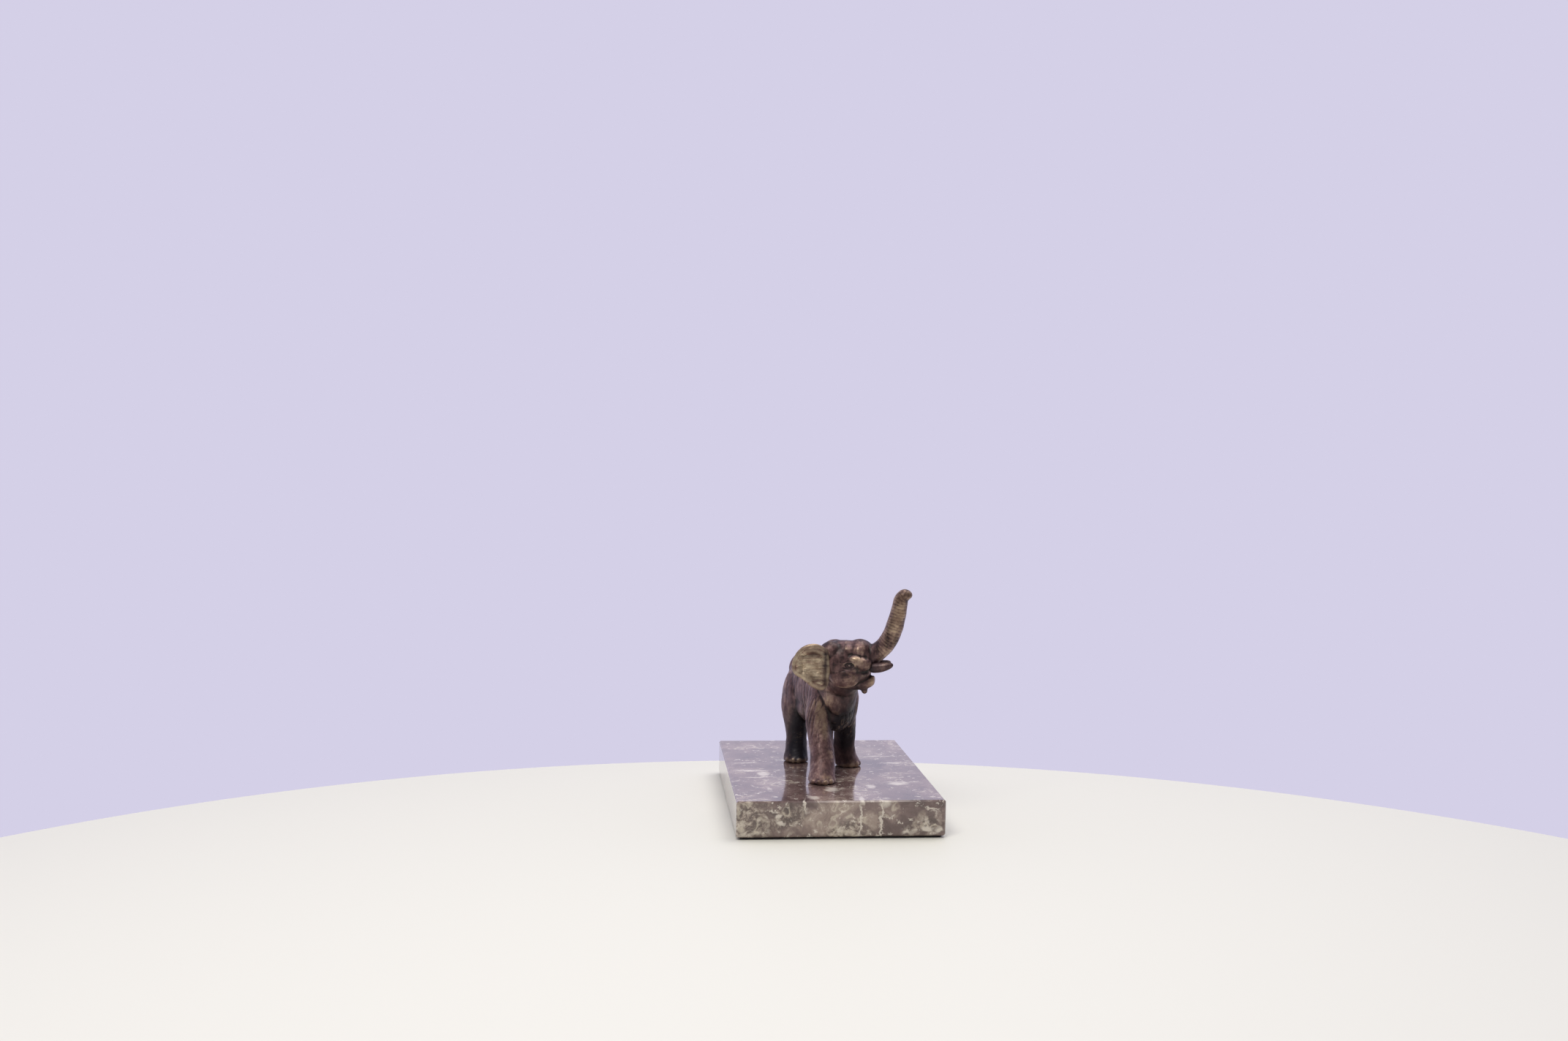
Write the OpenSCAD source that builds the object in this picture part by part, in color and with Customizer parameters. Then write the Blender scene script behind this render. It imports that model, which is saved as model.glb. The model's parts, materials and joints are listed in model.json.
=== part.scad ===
// Still bank: a cast elephant in two hollow halves on a polished stone base.
// The base lies on its pad with the origin under its middle, +Z up, and the animal faces -Y.
// The animal has its own frame: X to its left, Y to its tail, Z up from the top of the stone.

/* [Base] */
// Width of the stone base, side to side
base_w = 110; // [90:1:140]
// Length of the stone base, front to back
base_l = 155; // [130:1:190]
// Thickness of the stone
base_t = 19; // [14:0.5:30]
// Bevel round the edges of the stone
base_bevel = 0.8; // [0.4:0.1:2]
// Thickness of the felt pad
pad_t = 1; // [0.5:0.1:3]
// How far the pad stays in from the edge of the stone
pad_inset = 2; // [1:0.5:8]

/* [Body] */
// Length of the trunk of the body, chest to rump
body_l = 82; // [66:1:100]
// Greatest width of the body
body_w = 34.5; // [30:0.5:44]
// Height of the withers above the stone
body_h = 66.5; // [56:0.5:80]
// Wall of the hollow casting
wall = 3.4; // [2.6:0.1:4.5]
// Angle that the animal is turned on its base
body_turn = 10; // [0:1:20]
// Place of the animal's middle line on the base, to the right of centre
body_x = 1.5; // [-6:0.5:6]

/* [Legs] */
// Thickness of a leg at its middle
leg_d = 12.6; // [10:0.2:15]
// Step of the right fore foot from its shoulder, to the left and to the tail
step_fore_right = [-4.1, -19.5]; // [-20:0.5:20]
// Step of the left fore foot
step_fore_left = [4.7, 12]; // [-20:0.5:20]
// Step of the right hind foot from its hip
step_hind_right = [-2.8, -8]; // [-20:0.5:20]
// Step of the left hind foot
step_hind_left = [2.4, 9]; // [-20:0.5:20]

/* [Head] */
// Angle that the head is turned from the body
head_turn = 60; // [40:1:68]
// Length of the skull
head_l = 32; // [28:0.5:38]
// Width of the skull
head_w = 22.6; // [18:0.2:26]
// Height of the skull, crown to jaw
head_h = 28; // [24:0.5:32]
// Middle of the skull from the top of the chest, to the left, to the tail and up
head_out = [1.5, -4, -1.5]; // [-10:0.5:10]
// Thickness of the trunk at its root
trunk_d = 10.4; // [9:0.2:13]
// Height of the trunk's tip above the middle of the skull
trunk_rise = 43; // [34:0.2:50]
// Side of the square neck peg that the halves hold
neck_peg = 8; // [6:0.5:9]
// Side of the collar on the neck peg
neck_collar = 11; // [10:0.5:12]

/* [Ears, tusks and tail] */
// Length of an ear, front to back
ear_l = 18; // [14:0.5:22]
// Height of an ear
ear_h = 24; // [18:0.5:28]
// Thickness of an ear
ear_t = 2.2; // [1.6:0.1:3]
// How far an ear stands out from the right side of the head, in degrees
ear_flare_right = 16; // [5:1:40]
// How far the left ear stands out
ear_flare_left = 106; // [96:1:116]
// How much lower the left ear hangs than the right one
ear_drop_left = 3.5; // [0:0.5:6]
// Diameter of the tusks at the root
tusk_d = 5.6; // [4:0.2:6.4]
// Length of a tusk outside the cheek
tusk_l = 10; // [8:0.5:16]
// Diameter of the tail at its root
tail_d = 3.4; // [2.4:0.1:4.5]
// Length that the tail hangs down
tail_l = 30; // [20:1:36]
// Diameter of the pegs of the ears
ear_peg_d = 1.6; // [1:0.1:2]
// Diameter of the pegs of the tusks and tail
peg_d = 2.4; // [1.6:0.1:2.6]
// Depth of those pegs
peg_l = 4; // [2.5:0.1:5]

/* [Coin slot and trap] */
// Length of the coin slot in the back
slot_l = 32; // [26:1:36]
// Width of the coin slot
slot_w = 3.5; // [2.5:0.1:4]
// Length of the trap door in the belly
trap_l = 28; // [24:0.5:31]
// Width of the trap door
trap_w = 6.4; // [5:0.1:7]
// Thickness of the trap door
trap_t = 1.6; // [1:0.1:2]
// Diameter of the hinge pin
pin_d = 1.8; // [1.2:0.1:2.2]
// Diameter of the hinge knuckle
knuckle_d = 3.8; // [3.4:0.1:4.4]
// Gap round the trap door
trap_gap = 0.35; // [0.25:0.05:0.6]
// Running clearance between the pin and the knuckle, all round
running = 0.05; // [0.02:0.01:0.1]
// Thickness of the spring clip's strip
clip_t = 0.5; // [0.4:0.05:0.8]

/* [Fasteners] */
// Diameter of the screws through the two halves
seam_screw_d = 4; // [3:0.1:5]
// Diameter of the head of a seam screw
seam_head_d = 7; // [6:0.1:8]
// Side of the square nuts of the seam screws
nut_side = 7; // [6:0.1:8]
// Thickness of the square nuts
nut_t = 3; // [2:0.1:4]
// Diameter of the dowels in the seam
dowel_d = 1.8; // [1.2:0.1:2]
// Length of a dowel
dowel_l = 8; // [5:0.5:12]
// Diameter of the screws through the base
foot_screw_d = 4; // [3:0.1:5]
// Diameter of the head of a foot screw
foot_head_d = 7.6; // [7:0.1:9]
// Height of the screw heads
screw_head_h = 2.6; // [2:0.1:3.5]
// How far a foot screw reaches into a foot
foot_grip = 7; // [5:0.5:10]
// Diameter of the washers
washer_d = 9; // [8.5:0.1:10]
// Thickness of the washers
washer_t = 0.8; // [0.5:0.1:1.2]
// Diameter of the counterbores under the base
counterbore_d = 11; // [10:0.2:14]
// Depth of the counterbores
counterbore_h = 6; // [4:0.5:8]
// Clearance of a screw in its hole, across the diameter
screw_play = 0.5; // [0.3:0.1:1]

/* [Hidden] */
top = pad_t + base_t;
chest = -31 / 82 * body_l;
head_at = [head_out[0], chest + head_out[1], body_h + head_out[2]];
// The four hips and the steps down from them to the feet
hips = [[-0.246 * body_w, chest + 0.195 * body_l], [0.275 * body_w, chest + 0.28 * body_l],
    [-0.261 * body_w, chest + 0.732 * body_l], [0.261 * body_w, chest + 0.78 * body_l]];
steps = [step_fore_right, step_fore_left, step_hind_right, step_hind_left];
// The foot screws stand a tenth of the way back from each foot to its hip
screws = [for (k = [0:3]) hips[k] + 0.9 * steps[k]];
bronze = [0.36, 0.26, 0.24];
rubbed = [0.55, 0.47, 0.33];
steel_colour = [0.62, 0.62, 0.63];

// Body: [place from chest to rump, height of the middle, half width, half height], as shares
BODY = [[0, 0.76, 0.3, 0.12], [0.05, 0.745, 0.6, 0.2], [0.12, 0.72, 0.76, 0.26], [0.25, 0.69, 0.87, 0.306],
    [0.4, 0.668, 0.93, 0.314], [0.57, 0.661, 0.99, 0.316], [0.72, 0.661, 1, 0.31], [0.84, 0.654, 0.9, 0.28],
    [0.93, 0.64, 0.68, 0.22], [1, 0.62, 0.34, 0.13]];
// Skull: [place from crown to trunk, height of the middle, half width, half height], as shares
SKULL = [[0, 0.04, 0.6, 0.26], [0.1, 0, 0.9, 0.44], [0.3, -0.02, 1, 0.49], [0.55, 0.02, 0.96, 0.47],
    [0.75, 0.16, 0.74, 0.33], [0.92, 0.22, 0.5, 0.22], [1, 0.23, 0.4, 0.18]];
// Jaw: the same, along the part of the skull from jaw_back to jaw_front
JAW = [[0, -0.3, 0.66, 0.2], [0.35, -0.34, 0.54, 0.2], [0.7, -0.33, 0.42, 0.17], [1, -0.26, 0.24, 0.1]];
jaw_back = -2;
jaw_front = 14.5;

// Where things stand along the body, in the animal's frame
trap_rear = chest + 0.785 * body_l;
trap_front = trap_rear - trap_l;
slot_mid = chest + 0.5 * body_l;
belly = body_bottom(trap_rear - trap_l / 2);
// The thick frame of metal round the trap: its height inside the belly and its margin round the door
frame_h = 5;
frame_margin = 2.4;
frame_lap = 0.2;
// The door's underside stands this far up from the belly
door_z = belly + 0.5;
// The knuckle rises this far less than the door's top
pin_drop = 0.4;
pin_z = door_z + trap_t - pin_drop;
// The door stops against this ledge, with this gap above it
ledge = 1;
over_door = 0.1;
// Cuts through the belly start this far under it
below = 5;
// The tongue inside the door, which the clip pinches
tongue_t = 1;
tongue_l = 3;
tongue_front = trap_front + ledge + 1;
tongue_top = belly + frame_h + 3;
// The lip under the door's front edge, for a fingernail
nail_l = 1.4;
nail_h = 1.2;
// The spring clip: its height, its grip in the frame, its clear distance from the ledge and from the tongue's top
clip_z = belly + 3.6;
clip_grip = 1;
clip_inset = 0.6;
clip_clear = 0.1;
clip_drop = 0.5;
pin_l = trap_w + 7;
// The neck's peg, its collar and the metal round them
neck_z = 0.86 * body_h;
neck_y = chest + 5.5;
neck_boss_l = 8;
neck_wall = 2;
collar_t = 3;
peg_lap = 1;
// The two balls that the neck's flesh is drawn between: places and shares of the widths
neck_ball = [0, chest + 11, neck_z - 2];
head_ball = head_at + [-2, 2, -2];
neck_ball_share = 0.66;
head_ball_share = 0.98;
// An ear stands this clear of the body
ear_clear = 0.2;
seam_at = [[chest + 0.21 * body_l, 0.7 * body_h], [chest + 0.88 * body_l, 0.64 * body_h]];
boss_d = 10;
ear_root = [0.33 * head_l, 0.1 * head_l];
ear_side = 0.42 * head_w;
ear_peg_out = 9;
ear_peg_z = 4.5;
seam_reach = 9;
foot_hole = foot_grip + 0.5;
// A seam screw's end stands this far past its nut
screw_past = 2;
// A dowel's middle stands this far in from the middle of the wall
dowel_in = 0.3;
// Where the tail leaves the rump, as a share of the body's height
tail_root = 0.7;
leg_h = 0.72 * body_h;
// A driver slot in a screw's head
driver_w = 1;
driver_t = 1.2;
// Longer than the animal, for cutting it at the seam
far = 2 * body_l;
// Lower tip of an ear from the middle of the skull
ear_tip_z = -13;
// Root of a tusk from the middle of the skull, and the angles that it rises and spreads
tusk_root = [0.175 * head_w, -12, -0.3];
tusk_rise = 6;
tusk_splay = 2;
// Height of the trunk's line as drawn
trunk_line_h = 43;

function body_bottom(y) = lookup(y, [for (s = BODY) [chest + s[0] * body_l, (s[1] - s[3]) * body_h]]);
function body_top(y) = lookup(y, [for (s = BODY) [chest + s[0] * body_l, (s[1] + s[3]) * body_h]]);

// A ring of points about c: half sizes a and b along the unit vectors u and v
function ring(c, u, v, a, b, n) = [for (i = [0:n - 1]) c + a * cos(360 * i / n) * u + b * sin(360 * i / n) * v];

// A closed solid through rings that turn the right-handed way round their line
module skin(rings) {
    n = len(rings[0]);
    m = len(rings);
    sides = [for (k = [0:m - 2], i = [0:n - 1]) each let (p = k * n + i, q = k * n + (i + 1) % n)
        [[p, p + n, q + n], [p, q + n, q]]];
    ends = [[for (i = [0:n - 1]) i], [for (i = [n - 1:-1:0]) (m - 1) * n + i]];
    polyhedron(points = [for (r = rings) each r], faces = concat(ends, sides));
}

// A form along Y: table rows are shares of the length, height, half width and half height
module form(table, start, length, width, height, z0, inset, n) {
    last = len(table) - 1;
    skin([for (k = [0:last]) let (s = table[k], end = k == 0 ? inset : k == last ? -inset : 0)
        ring([0, start + s[0] * length + end, z0 + s[1] * height], [0, 0, 1], [1, 0, 0],
            max(1, s[3] * height - inset), max(1, s[2] * width / 2 - inset), n)]);
}

module on_base() {
    translate([body_x, 0, top]) rotate([0, 0, body_turn]) children();
}

module on_neck() {
    on_base() translate(head_at) rotate([0, 0, head_turn]) children();
}

module body_form(inset) {
    form(BODY, chest, body_l, body_w, body_h, 0, inset, 28);
}

// A leg: level rings from inside the body down to the foot
module leg(hip, step) {
    // [share of the height, share of the step, width and depth as shares of the leg]
    rows = [[1.1, 0, 0.8, 1.1], [0.95, 0, 1.2, 1.5], [0.7, 0.15, 1.24, 1.44], [0.42, 0.5, 1.06, 1.14],
        [0.25, 0.75, 0.98, 1], [0.1, 0.92, 1.02, 1.06], [0.05, 1, 1.1, 1.18], [0, 1, 1.1, 1.2]];
    skin([for (k = [len(rows) - 1:-1:0]) let (r = rows[k])
        ring([hip[0] + step[0] * r[1], hip[1] + step[1] * r[1], r[0] * leg_h],
            [1, 0, 0], [0, 1, 0], leg_d / 2 * r[2], leg_d / 2 * r[3], 18)]);
}

// The whole outside of the casting
module body_outer(inset) {
    body_form(inset);
    for (k = [0:3]) leg(hips[k], steps[k]);
}

module along_x(y, z, d, l) {
    translate([0, y, z]) rotate([0, 90, 0]) cylinder(d = d, h = l, center = true, $fn = 32);
}

module block(x, y0, y1, z0, z1) {
    translate([-x / 2, y0, z0]) cube([x, y1 - y0, z1 - z0]);
}

dowels = [[slot_mid - slot_l / 2 - 6, 1], [chest + 0.86 * body_l, -1]];
function dowel_z(d) = d[1] > 0 ? body_top(d[0]) - wall / 2 - dowel_in
    : body_bottom(d[0]) + wall / 2 + dowel_in;

// What the two halves share before the seam is cut
module casting() {
    difference() {
        union() {
            difference() {
                body_outer(0);
                body_form(wall);
            }
            block(trap_w + 2 * frame_margin, trap_front - frame_margin, trap_rear + knuckle_d, belly - frame_lap,
                belly + frame_h);
            intersection() {
                body_form(0);
                union() {
                    for (p = seam_at) along_x(p[0], p[1], boss_d, body_w);
                    block(neck_collar + 2 * neck_wall, chest, neck_y + neck_boss_l,
                        neck_z - neck_collar / 2 - neck_wall, body_h);
                }
            }
        }
        block(slot_w, slot_mid - slot_l / 2, slot_mid + slot_l / 2, 0.8 * body_h, 1.1 * body_h);
        block(trap_w - 2 * ledge, trap_front + ledge, trap_rear - knuckle_d, belly - below, tongue_top);
        block(trap_w + 2 * trap_gap, trap_front - trap_gap, trap_rear, belly - below, door_z + trap_t + over_door);
        along_x(trap_rear, pin_z, knuckle_d + 2 * trap_gap, trap_w + 2 * trap_gap);
        block(trap_w + 2 * trap_gap, trap_rear - 1, trap_rear + knuckle_d / 2 + trap_gap, belly - below, pin_z);
        along_x(trap_rear, pin_z, pin_d, pin_l);
        clip_foot();
        clip_fingers();
        for (p = seam_at) along_x(p[0], p[1], seam_screw_d + screw_play, body_w * 0.7);
        for (p = seam_at) translate([seam_reach, p[0], p[1]]) rotate([0, 90, 0])
            cylinder(d = seam_head_d + screw_play, h = 20, $fn = 32);
        for (p = seam_at) translate([-nut_t, p[0] - nut_side / 2, p[1] - nut_side / 2])
            cube([nut_t, nut_side, nut_side]);
        for (d = dowels) along_x(d[0], dowel_z(d), dowel_d, dowel_l);
        neck_peg_form();
        tail_peg();
        for (f = screws) translate([f[0], f[1], -1]) cylinder(d = foot_screw_d, h = foot_hole + 1, $fn = 32);
    }
}

module half(side) {
    intersection() {
        casting();
        translate([side > 0 ? 0 : -far, -far, -far]) cube([far, 2 * far, 2 * far]);
    }
}

// The square peg and collar behind the head, along Y
module neck_peg_form() {
    translate([0, 0, neck_z]) {
        block(neck_peg, chest - 3, neck_y + 2 * peg_lap, -neck_peg / 2, neck_peg / 2);
        block(neck_collar, neck_y + peg_lap, neck_y + peg_lap + collar_t, -neck_collar / 2, neck_collar / 2);
    }
}

module tail_peg() {
    translate([0, chest + body_l - peg_l, tail_root * body_h]) rotate([-90, 0, 0])
        cylinder(d = peg_d, h = peg_l + 3, $fn = 24);
}

// The strip that the clip stands on, which the two halves grip
module clip_foot() {
    block(trap_w + 2 * clip_grip, trap_front - frame_margin + clip_inset, trap_front + ledge - clip_clear, clip_z,
        clip_z + clip_t);
}

// Two fingers that pinch the tongue of the closed door
module clip_fingers() {
    for (side = [-1, 1]) translate([side * (tongue_t / 2 + running + clip_t / 2), 0, 0])
        block(clip_t, trap_front + ledge - clip_inset, tongue_front + tongue_l, clip_z, tongue_top - clip_drop);
}

module base_pad() {
    color([0.16, 0.15, 0.15]) translate([-base_w / 2 + pad_inset, -base_l / 2 + pad_inset, 0])
        cube([base_w - 2 * pad_inset, base_l - 2 * pad_inset, pad_t]);
}

// A slab with a bevel along every edge, as three crossed blocks between two levels
module stone_blank() {
    b = base_bevel;
    hull() {
        translate([-base_w / 2 + b, -base_l / 2 + b, pad_t]) cube([base_w - 2 * b, base_l - 2 * b, base_t]);
        translate([-base_w / 2, -base_l / 2 + b, pad_t + b]) cube([base_w, base_l - 2 * b, base_t - 2 * b]);
        translate([-base_w / 2 + b, -base_l / 2, pad_t + b]) cube([base_w - 2 * b, base_l, base_t - 2 * b]);
    }
}

module stone_base() {
    color([0.45, 0.38, 0.38]) difference() {
        stone_blank();
        on_base() for (f = screws) translate([f[0], f[1], -base_t - 1]) {
            cylinder(d = foot_screw_d + screw_play, h = base_t + 2, $fn = 32);
            cylinder(d = counterbore_d, h = counterbore_h + 1, $fn = 40);
        }
    }
}

module foot_screws() {
    head_z = -base_t + counterbore_h - washer_t;
    color(steel_colour) on_base() for (f = screws) translate([f[0], f[1], head_z]) {
        cylinder(d = foot_screw_d, h = -head_z + foot_grip, $fn = 32);
        difference() {
            translate([0, 0, -screw_head_h]) cylinder(d = foot_head_d, h = screw_head_h, $fn = 32);
            translate([-foot_head_d, -driver_w / 2, -screw_head_h - 1]) cube([2 * foot_head_d, driver_w, 1 + driver_t]);
        }
    }
}

module foot_washers() {
    color(steel_colour) on_base() for (f = screws) translate([f[0], f[1], -base_t + counterbore_h - washer_t])
        difference() {
            cylinder(d = washer_d, h = washer_t, $fn = 40);
            translate([0, 0, -1]) cylinder(d = foot_screw_d, h = washer_t + 2, $fn = 32);
        }
}

module body_right_half() {
    color(bronze) on_base() half(-1);
}

module body_left_half() {
    color(bronze) on_base() half(1);
}

module seam_screws() {
    color(steel_colour) on_base() for (p = seam_at) translate([0, p[0], p[1]]) rotate([0, 90, 0]) {
        translate([0, 0, -nut_t - screw_past])
            cylinder(d = seam_screw_d, h = seam_reach + nut_t + screw_past, $fn = 32);
        translate([0, 0, seam_reach]) difference() {
            cylinder(d = seam_head_d, h = screw_head_h, $fn = 32);
            translate([-seam_head_d, -driver_w / 2, screw_head_h - driver_t]) cube([2 * seam_head_d, driver_w, 1 + driver_t]);
        }
    }
}

module seam_nuts() {
    color(steel_colour) on_base() for (p = seam_at) difference() {
        translate([-nut_t, p[0] - nut_side / 2, p[1] - nut_side / 2]) cube([nut_t, nut_side, nut_side]);
        along_x(p[0], p[1], seam_screw_d, 4 * nut_t);
    }
}

module seam_dowels() {
    color(steel_colour) on_base() for (d = dowels) along_x(d[0], dowel_z(d), dowel_d, dowel_l);
}

// The trunk: a tapering sweep in the middle plane of the head, from its root to the curled tip
module trunk() {
    // [forward of the skull's middle, height, share of the root's thickness]
    line = [[10, 5, 1.05], [14.6, 7, 1.02], [18.3, 10.1, 1], [21.3, 14.3, 0.98], [23.5, 19, 0.95],
        [25.3, 25, 0.91], [26.5, 31, 0.84], [27.2, 35.3, 0.78], [28.5, 38.7, 0.8], [30.7, 39.6, 0.64]];
    last = len(line) - 1;
    pts = [for (p = line) [0, -p[0], p[1] * trunk_rise / trunk_line_h]];
    skin([for (k = [0:last]) let (t0 = pts[min(k + 1, last)] - pts[max(k - 1, 0)], t = t0 / norm(t0))
        ring(pts[k], [1, 0, 0], cross(t, [1, 0, 0]), line[k][2] * trunk_d / 2, line[k][2] * trunk_d / 2, 16)]);
}

module skull() {
    rotate([0, 0, 180]) form(SKULL, -head_l / 2, head_l, head_w, head_h, 0, 0, 24);
}

module jaw() {
    rotate([0, 0, 180]) form(JAW, jaw_back, jaw_front - jaw_back, head_w, head_h, 0, 0, 18);
}

// A tusk stands in the cheek with its root at the origin of this frame
module at_tusk(side) {
    translate([side * tusk_root[0], tusk_root[1], tusk_root[2]]) rotate([90 - tusk_rise, 0, side * tusk_splay])
        children();
}

module tusk_form(side) {
    tip_d = 0.5 * tusk_d;
    at_tusk(side) {
        translate([0, 0, -peg_l]) cylinder(d = peg_d, h = peg_l + 1, $fn = 24);
        cylinder(d1 = tusk_d, d2 = tip_d, h = tusk_l, $fn = 32);
        translate([0, 0, tusk_l]) sphere(d = tip_d, $fn = 32);
    }
}

// An ear stands on its front edge, at the side of the skull, and reaches back or out
module at_ear(side) {
    flare = side > 0 ? ear_flare_left : ear_flare_right;
    drop = side > 0 ? ear_drop_left : 0;
    translate([side * ear_side, side > 0 ? ear_root[1] : ear_root[0], -drop])
        rotate([0, 0, -side * flare]) children();
}

module ear_blade(side) {
    // [share of the length, share of the height from the lower tip]
    outline = [[0, 0.88], [0.28, 1], [0.7, 0.86], [1, 0.5], [0.94, 0.34], [0.45, 0.1], [0.02, 0]];
    at_ear(side) hull() for (p = outline)
        translate([0, p[0] * ear_l, ear_tip_z + p[1] * ear_h]) sphere(d = ear_t, $fn = 16);
}

module ear_peg(side) {
    at_ear(side) translate([0, ear_peg_out, ear_peg_z]) rotate([90, 0, 0])
        cylinder(d = ear_peg_d, h = peg_l + ear_peg_out, $fn = 24);
}

// The flesh of the neck, which stands against the front of the body
module neck() {
    hull() {
        translate(neck_ball) sphere(d = neck_ball_share * body_w, $fn = 32);
        translate(head_ball) sphere(d = head_ball_share * head_w, $fn = 32);
    }
}

module head() {
    color(bronze) difference() {
        union() {
            difference() {
                union() {
                    on_neck() skull();
                    on_neck() jaw();
                    on_base() neck();
                }
                on_base() body_outer(0);
            }
            on_neck() trunk();
            on_base() neck_peg_form();
        }
        on_neck() for (side = [-1, 1]) {
            tusk_form(side);
            ear_peg(side);
        }
    }
}

module ear(side) {
    difference() {
        on_neck() ear_blade(side);
        on_neck() skull();
        on_base() neck();
        on_base() body_outer(-ear_clear);
    }
    on_neck() ear_peg(side);
}

module right_ear() {
    color(rubbed) ear(-1);
}

module left_ear() {
    color(rubbed) ear(1);
}

module right_tusk() {
    color(bronze) on_neck() tusk_form(-1);
}

module left_tusk() {
    color(bronze) on_neck() tusk_form(1);
}

module tail() {
    // [behind the rump, share of the length down, share of the thickness]
    line = [[-1, 0.02, 1], [1.6, 0, 1], [3.6, 0.12, 0.9], [4.4, 0.35, 0.75], [4.2, 0.65, 0.66], [4, 0.82, 0.9],
        [4.2, 0.92, 1], [4.4, 1, 0.4]];
    last = len(line) - 1;
    pts = [for (p = line) [0, chest + body_l + p[0], tail_root * body_h - p[1] * tail_l]];
    color(bronze) on_base() {
        difference() {
            skin([for (k = [0:last]) let (t0 = pts[min(k + 1, last)] - pts[max(k - 1, 0)], t = t0 / norm(t0))
                ring(pts[k], [1, 0, 0], cross(t, [1, 0, 0]), line[k][2] * tail_d / 2, line[k][2] * tail_d / 2, 12)]);
            body_form(0);
        }
        tail_peg();
    }
}

module trap_door() {
    color([0.5, 0.43, 0.3]) on_base() difference() {
        union() {
            block(trap_w, trap_front, trap_rear, door_z, door_z + trap_t);
            along_x(trap_rear, pin_z, knuckle_d, trap_w);
            block(tongue_t, tongue_front, tongue_front + tongue_l, door_z, tongue_top);
            block(trap_w / 2, trap_front, trap_front + nail_l, door_z - nail_h, door_z + trap_t / 2);
        }
        along_x(trap_rear, pin_z, pin_d + 2 * running, trap_w + 4);
    }
}

module trap_pin() {
    color(steel_colour) on_base() along_x(trap_rear, pin_z, pin_d, pin_l);
}

module trap_clip() {
    color([0.72, 0.6, 0.35]) on_base() {
        clip_foot();
        clip_fingers();
    }
}

base_pad();
stone_base();
foot_screws();
foot_washers();
body_right_half();
body_left_half();
seam_screws();
seam_nuts();
seam_dowels();
head();
right_ear();
left_ear();
right_tusk();
left_tusk();
tail();
trap_door();
trap_pin();
trap_clip();
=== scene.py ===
import json
import math

import bmesh
import bpy
import numpy as np
from mathutils import Matrix, Vector
from mathutils.kdtree import KDTree


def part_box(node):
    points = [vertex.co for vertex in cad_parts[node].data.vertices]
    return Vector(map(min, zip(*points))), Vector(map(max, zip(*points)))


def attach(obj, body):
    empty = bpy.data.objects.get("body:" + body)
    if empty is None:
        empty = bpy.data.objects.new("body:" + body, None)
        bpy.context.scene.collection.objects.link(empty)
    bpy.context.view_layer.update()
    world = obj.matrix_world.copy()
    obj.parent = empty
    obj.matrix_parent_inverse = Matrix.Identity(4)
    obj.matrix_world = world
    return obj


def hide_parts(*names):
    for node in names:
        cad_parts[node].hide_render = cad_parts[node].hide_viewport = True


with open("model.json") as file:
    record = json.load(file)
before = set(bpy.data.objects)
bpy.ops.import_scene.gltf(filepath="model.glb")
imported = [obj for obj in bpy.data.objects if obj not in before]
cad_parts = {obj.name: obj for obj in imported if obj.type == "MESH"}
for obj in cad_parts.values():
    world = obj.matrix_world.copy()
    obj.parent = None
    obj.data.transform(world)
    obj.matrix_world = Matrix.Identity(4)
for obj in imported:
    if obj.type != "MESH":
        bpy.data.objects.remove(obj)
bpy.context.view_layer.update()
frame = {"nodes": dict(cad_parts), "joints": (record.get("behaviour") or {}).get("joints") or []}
MM = 0.001


# The table, the room and the camera
# A round pale table top stands in front of a plain lavender wall. The light is soft: one large lamp is
# high in front on the left, and a larger one is high over the object on the right.
scene = bpy.context.scene
scene.view_settings.view_transform = "Standard"
camera_at = Vector((-111.3, -852.7, 212.3)) * MM
yaw, pitch, roll = math.radians(5.783), math.radians(3.414), math.radians(0.932)
forward = Vector((math.sin(yaw) * math.cos(pitch), math.cos(yaw) * math.cos(pitch), -math.sin(pitch)))
level = Vector((math.cos(yaw), -math.sin(yaw), 0))
upright = level.cross(forward)
right = level * math.cos(roll) + upright * math.sin(roll)
up = upright * math.cos(roll) - level * math.sin(roll)
camera_data = bpy.data.cameras.new("camera")
camera_data.lens = 35
camera_data.sensor_width = 36
camera_data.clip_end = 30
camera = bpy.data.objects.new("camera", camera_data)
turn = Matrix((right, up, -forward)).transposed().to_4x4()
camera.matrix_world = Matrix.Translation(camera_at) @ turn
scene.collection.objects.link(camera)
scene.camera = camera


def made(name, bm, smooth=True):
    """A mesh object from a bmesh, which it frees."""
    mesh = bpy.data.meshes.new(name)
    bm.to_mesh(mesh)
    bm.free()
    obj = bpy.data.objects.new(name, mesh)
    scene.collection.objects.link(obj)
    if smooth:
        mesh.shade_smooth()
    return obj


def plain(name, colour, roughness):
    """A material of one colour, for what isn't part of the object."""
    material = bpy.data.materials.new(name)
    material.use_nodes = True
    shader = material.node_tree.nodes["Principled BSDF"]
    shader.inputs["Base Color"].default_value = (*colour, 1)
    shader.inputs["Roughness"].default_value = roughness
    return material


table_radius = 0.5415
table_middle = (-0.033, -0.4288, -0.0002)
bm = bmesh.new()
bmesh.ops.create_circle(bm, cap_ends=True, segments=256, radius=table_radius)
bmesh.ops.translate(bm, vec=table_middle, verts=bm.verts)
table = made("table_top", bm)
table.data.materials.append(plain("pale_table", (0.78, 0.78, 0.71), 0.6))

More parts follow.
